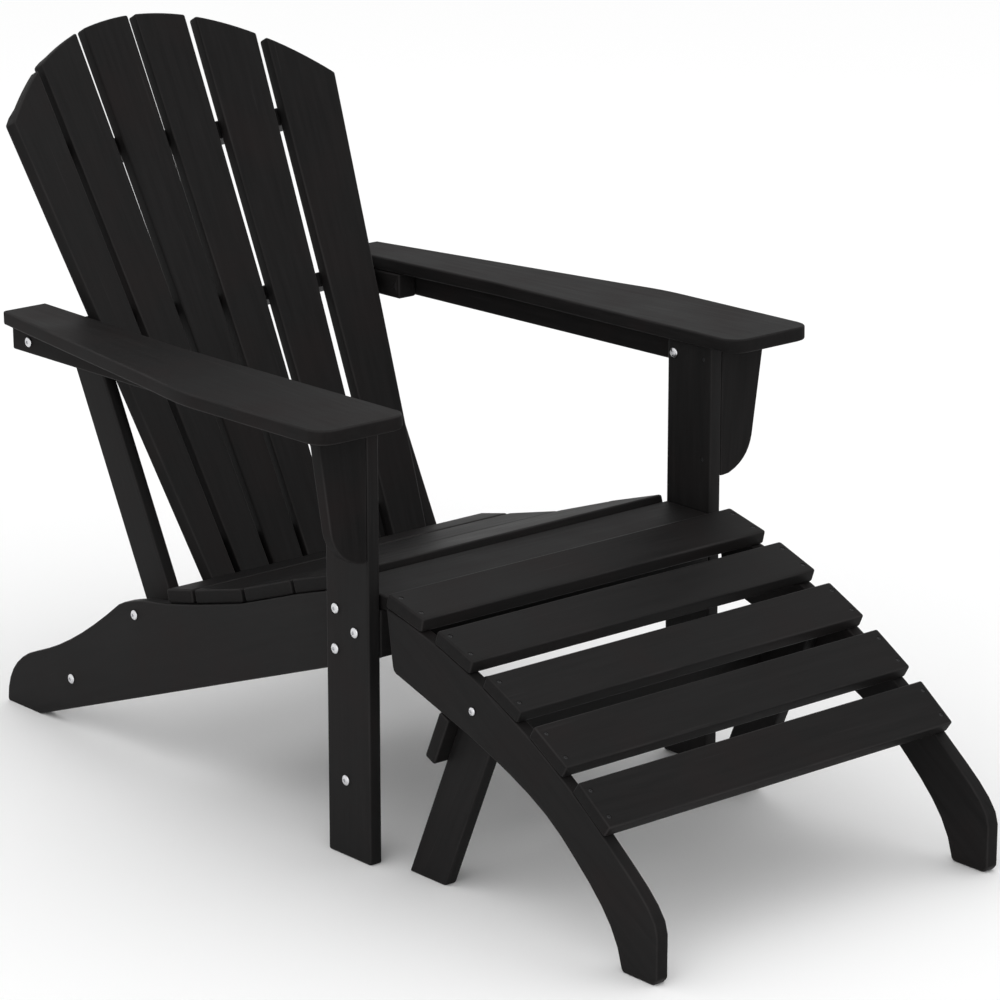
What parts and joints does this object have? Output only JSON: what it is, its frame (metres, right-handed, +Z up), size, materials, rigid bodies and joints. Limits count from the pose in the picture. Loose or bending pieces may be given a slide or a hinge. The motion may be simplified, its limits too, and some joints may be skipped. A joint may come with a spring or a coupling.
{
  "type": "adirondack chair",
  "caption": "Slatted Adirondack chair with a fanned, hollow back, wide arms and a matching slatted footrest whose rear legs fold.",
  "frame": {"origin": "on the ground, on the mid-plane, half way between the footrest's front feet and the rearmost point of the back", "axes": "+Z up; the chair faces -Y; +X is the sitter's left; X is the symmetry direction"},
  "size_m": [0.82, 1.4178, 0.9247],
  "materials": {
    "back_lumber": "black plastic lumber, satin with a fine brushed grain",
    "seat_lumber": "black plastic lumber, satin, slightly polished on the sitting faces",
    "frame_lumber": "black plastic lumber, satin",
    "arm_lumber": "black plastic lumber, satin, slightly polished on top",
    "footrest_lumber": "black plastic lumber, satin with a fine brushed grain",
    "stainless_steel": "polished button heads",
    "black_steel": "black coated deck screws"
  },
  "bodies": {
    "chair": {"back_slat_1": "back_lumber", "back_slat_2": "back_lumber", "back_slat_3": "back_lumber", "back_slat_4": "back_lumber", "back_slat_5": "back_lumber", "back_slat_6": "back_lumber", "seat_slat_1": "seat_lumber", "seat_slat_2": "seat_lumber", "seat_slat_3": "seat_lumber", "seat_slat_4": "seat_lumber", "seat_slat_5": "seat_lumber", "stringer_left": "frame_lumber", "stringer_right": "frame_lumber", "front_leg_left": "frame_lumber", "front_leg_right": "frame_lumber", "rear_support_left": "frame_lumber", "rear_support_right": "frame_lumber", "foot_spacer_left": "frame_lumber", "foot_spacer_right": "frame_lumber", "arm_spacer_left": "frame_lumber", "arm_spacer_right": "frame_lumber", "back_rail_lower": "frame_lumber", "back_strip": "frame_lumber", "back_rail_middle": "frame_lumber", "back_rail_upper": "frame_lumber", "front_apron": "frame_lumber", "arm_left": "arm_lumber", "arm_right": "arm_lumber", "arm_rail_left": "arm_lumber", "arm_rail_right": "arm_lumber", "arm_bracket_left": "arm_lumber", "arm_bracket_right": "arm_lumber", "arm_block_left": "arm_lumber", "arm_block_right": "arm_lumber", "leg_screw_upper_left": "stainless_steel", "leg_screw_upper_right": "stainless_steel", "leg_screw_front_left": "stainless_steel", "leg_screw_front_right": "stainless_steel", "leg_screw_lower_left": "stainless_steel", "leg_screw_lower_right": "stainless_steel", "leg_screw_foot_left": "stainless_steel", "leg_screw_foot_right": "stainless_steel", "support_screw_left": "stainless_steel", "support_screw_right": "stainless_steel", "heel_screw_left": "stainless_steel", "heel_screw_right": "stainless_steel", "arm_screw_left": "stainless_steel", "arm_screw_right": "stainless_steel"},
    "footrest": {"footrest_slat_1": "footrest_lumber", "footrest_slat_2": "footrest_lumber", "footrest_slat_3": "footrest_lumber", "footrest_slat_4": "footrest_lumber", "footrest_slat_5": "footrest_lumber", "footrest_side_left": "footrest_lumber", "footrest_side_right": "footrest_lumber", "pivot_bolt_left": "stainless_steel", "pivot_bolt_right": "stainless_steel"},
    "footrest_rear_legs": {"footrest_leg_left": "footrest_lumber", "footrest_leg_right": "footrest_lumber", "footrest_stretcher": "footrest_lumber"}
  },
  "joints": [
    {"name": "footrest_pull_out", "type": "slide", "parent": "chair", "child": "footrest", "axis": [0, -1, 0], "range_m": [0, 0.45]},
    {"name": "footrest_leg_fold", "type": "hinge", "parent": "footrest", "child": "footrest_rear_legs", "pos_m": [0, -0.37755, 0.2532], "axis": [-1, 0, 0], "range_deg": [0, 80]}
  ]
}
